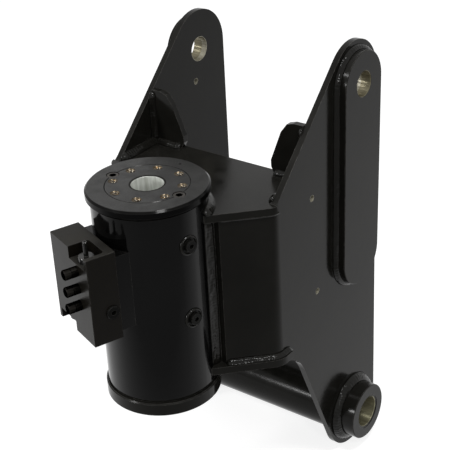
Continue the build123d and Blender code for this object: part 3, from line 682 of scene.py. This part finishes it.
def inside_beads(side):
    """On the top plate and under the low plate, along the ear's inner face."""
    inward = (-side, 0.0, 0.0)
    rear = BOX_REAR_Y - 1
    on_top = [(EAR_IN, rear, TOP_PLATE[1]), (EAR_IN, BEND_REAR_Y, TOP_PLATE[1])]
    below = [(EAR_IN, rear, LOW_PLATE[0]), (EAR_IN, LOW_LEDGE_Y, LOW_PLATE[0])]
    return [
        Bead(to_side(side, on_top), inward, UP, leg=9.0),
        Bead(to_side(side, below), inward, DOWN, leg=7.0),
    ]


def gusset_beads(side):
    """Up the front of the gusset, along its foot and up its back."""
    inward = (-side, 0.0, 0.0)
    foot, top = TOP_PLATE[1], GUSSET_TOP - 3
    front = [(EAR_IN, GUSSET_FRONT_Y, foot + 2), (EAR_IN, GUSSET_FRONT_Y, top)]
    along = [(EAR_IN - 2, GUSSET_FRONT_Y, foot), (GUSSET_INNER_X + 5, GUSSET_FRONT_Y, foot)]
    back = [(EAR_IN, BOX_REAR_Y, foot), (EAR_IN, BOX_REAR_Y, top)]
    return [
        Bead(to_side(side, front), inward, FORWARD, leg=7.0),
        Bead(to_side(side, along), FORWARD, UP, leg=6.5),
        Bead(to_side(side, back), inward, REARWARD, leg=5.0),
    ]


def barrel_bead(z, away, leg):
    """Round the rear of the barrel on a plate of the box."""
    start, end, steps = radians(14), radians(166), 60
    turns = [start + (end - start) * i / steps for i in range(steps + 1)]
    outs = [(cos(t), sin(t), 0.0) for t in turns]
    return Bead([(HOUSING_R * x, ROTOR_Y + HOUSING_R * y, z) for x, y, _ in outs], outs, away, leg)


def port_bead(z):
    """Low bead round a port plug, lying on the barrel's round wall."""
    points, outs, aways = [], [], []
    count = 48
    for i in range(count):
        t = 2 * pi * i / count
        turn = PORT_ANGLE + PORT_WASHER_R * cos(t) / HOUSING_R
        out = (cos(turn), sin(turn), 0.0)
        points.append((HOUSING_R * out[0], ROTOR_Y + HOUSING_R * out[1], z + PORT_WASHER_R * sin(t)))
        outs.append(out)
        aways.append((-sin(turn) * cos(t), cos(turn) * cos(t), sin(t)))
    return Bead(points, outs, aways, leg=2.6, closed=True, crown=0.3)


def weld_side(side, word):
    """All beads on one ear; side is 1 on the right and -1 on the left."""
    outward, inward = (side, 0.0, 0.0), (-side, 0.0, 0.0)
    outline, outs = oval(side * EAR_OUT, DOUBLER_R)
    weld(
        "doubler_bead_" + word, [Bead(outline, outs, outward, leg=6.2, closed=True)],
        replaces=("doubler_weld_" + word,))
    outer, outs = tube_circle(side * EAR_OUT)
    inner, _ = tube_circle(side * EAR_IN)
    weld(
        "tube_bead_" + word,
        [
            Bead(outer, outs, outward, leg=10.0, closed=True),
            Bead(inner, outs, inward, leg=8.0, closed=True),
        ],
        replaces=("tube_weld_" + word,))
    weld("box_bead_" + word, [ledge_bead(side), under_bead(side), *inside_beads(side), upright_bead(side)])
    weld("gusset_bead_" + word, gusset_beads(side))


weld_side(1, "right")
weld_side(-1, "left")
weld("barrel_bead", [barrel_bead(TOP_PLATE[1], UP, 9.0), barrel_bead(LOW_PLATE[0], DOWN, 6.5)])
weld("port_bead", [port_bead(z) for z in PORT_Z])


# Threads of the tapped holes

THREAD_PITCH = 1.75
THREAD_TURNS = 11
THREAD_STEPS = 28
THREAD_START = 1.6
THREAD_ROOT_R = 5.25
THREAD_CREST_R = 4.35
RUNOUT_R = 4.9
RUNOUT_STEPS = 6


def add_thread(mesh, x, y):
    """Helical ridge on the wall of one hole."""
    last = THREAD_TURNS * THREAD_STEPS
    rows = []
    for i in range(last + 1):
        t = 2 * pi * i / THREAD_STEPS
        z = CAP_TOP - THREAD_START - THREAD_PITCH * i / THREAD_STEPS
        crest = THREAD_CREST_R if RUNOUT_STEPS < i < last - RUNOUT_STEPS else RUNOUT_R
        section = [(THREAD_ROOT_R, 0.75), (crest, 0.12), (crest, -0.12), (THREAD_ROOT_R, -0.75)]
        rows.append([
            mesh.verts.new(Vector((x + r * cos(t), y + r * sin(t), z + rise)) * MM) for r, rise in section])
    join_rows(mesh, rows)


def make_threads():
    mesh = bmesh.new()
    for k in range(HOLE_COUNT):
        angle = HOLE_PHASE + 2 * pi * k / HOLE_COUNT
        add_thread(mesh, HOLE_PCD_R * cos(angle), ROTOR_Y + HOLE_PCD_R * sin(angle))
    piece("tapped_threads", mesh, TAPPED, "output_shaft")


make_threads()


# Floor, lamps and world

FLOOR_SIZE = 6.0
FLOOR_GAP = 0.3
FLOOR_GREY = (0.4, 0.4, 0.4)
FLOOR_GLOW = 0.78
TO_FRONT = (sin(AZIMUTH), -cos(AZIMUTH), 0.0)
FADE_START, FADE_END = 0.15, 0.65
WORLD_GREY = (0.55, 0.55, 0.55)
WHITE = (1.0, 1.0, 1.0)


def seen_rays(look, path):
    """1 for rays that see straight or through glass."""
    return look.math("MAXIMUM", path.outputs["Is Camera Ray"], path.outputs["Is Transmission Ray"])


def floor_material():
    """Pale floor, white where it is lit; what mirrors it finds it dimmer towards the front."""
    look = new_look("floor")
    path = look.add("ShaderNodeLightPath")
    front = look.vector("DOT_PRODUCT", look.coords, TO_FRONT)
    fading = look.remap(front, FADE_START, FADE_END, 1.0, 0.0)
    seen = look.math("MAXIMUM", seen_rays(look, path), look.times(path.outputs["Is Glossy Ray"], fading))
    pale = look.add("ShaderNodeBsdfDiffuse", {"Color": FLOOR_GREY}).outputs[0]
    glow = look.add("ShaderNodeEmission", {"Color": WHITE, "Strength": look.times(seen, FLOOR_GLOW)})
    return look.close(look.add("ShaderNodeAddShader", {0: pale, 1: glow.outputs[0]}).outputs[0])


def make_floor():
    z = (LOWEST - FLOOR_GAP) * MM
    corners = [(x * FLOOR_SIZE, y * FLOOR_SIZE, z) for x, y in ((-1, -1), (1, -1), (1, 1), (-1, 1))]
    mesh = bpy.data.meshes.new("floor")
    mesh.from_pydata(corners, [], [(0, 1, 2, 3)])
    mesh.materials.append(floor_material())
    floor = bpy.data.objects.new("floor", mesh)
    scene.collection.objects.link(floor)


def area_lamp(name, at, aim, size, power):
    data = bpy.data.lights.new(name, "AREA")
    data.shape = "RECTANGLE"
    data.size, data.size_y = size
    data.energy = power
    lamp = bpy.data.objects.new(name, data)
    lamp.location = at
    lamp.rotation_euler = (Vector(aim) - Vector(at)).to_track_quat("-Z", "Y").to_euler()
    scene.collection.objects.link(lamp)


def make_world():
    """White where it is seen or mirrored, and a plain grey light for the rest."""
    look = Look(bpy.data.worlds.new("studio"))
    path = look.add("ShaderNodeLightPath")
    seen = look.math("MAXIMUM", seen_rays(look, path), path.outputs["Is Glossy Ray"])
    grey = look.add("ShaderNodeBackground", {"Color": WORLD_GREY}).outputs[0]
    white = look.add("ShaderNodeBackground", {"Color": WHITE}).outputs[0]
    scene.world = look.close(look.mix_shader(seen, grey, white), "ShaderNodeOutputWorld")


make_floor()
area_lamp("key", at=(-1.2, -2.2, 2.4), aim=(0, -0.15, 0.2), size=(0.4, 0.4), power=26)
area_lamp("top", at=(1.0, -0.6, 2.4), aim=(0, -0.1, 0.2), size=(0.4, 0.4), power=24)
area_lamp("side", at=(2.2, -1.5, 1.2), aim=(0.1, 0, 0.1), size=(0.3, 0.3), power=12)
area_lamp("low", at=(-1.03, -2.43, 0.84), aim=(0.1, 0, 0), size=(0.4, 0.3), power=18)
make_world()
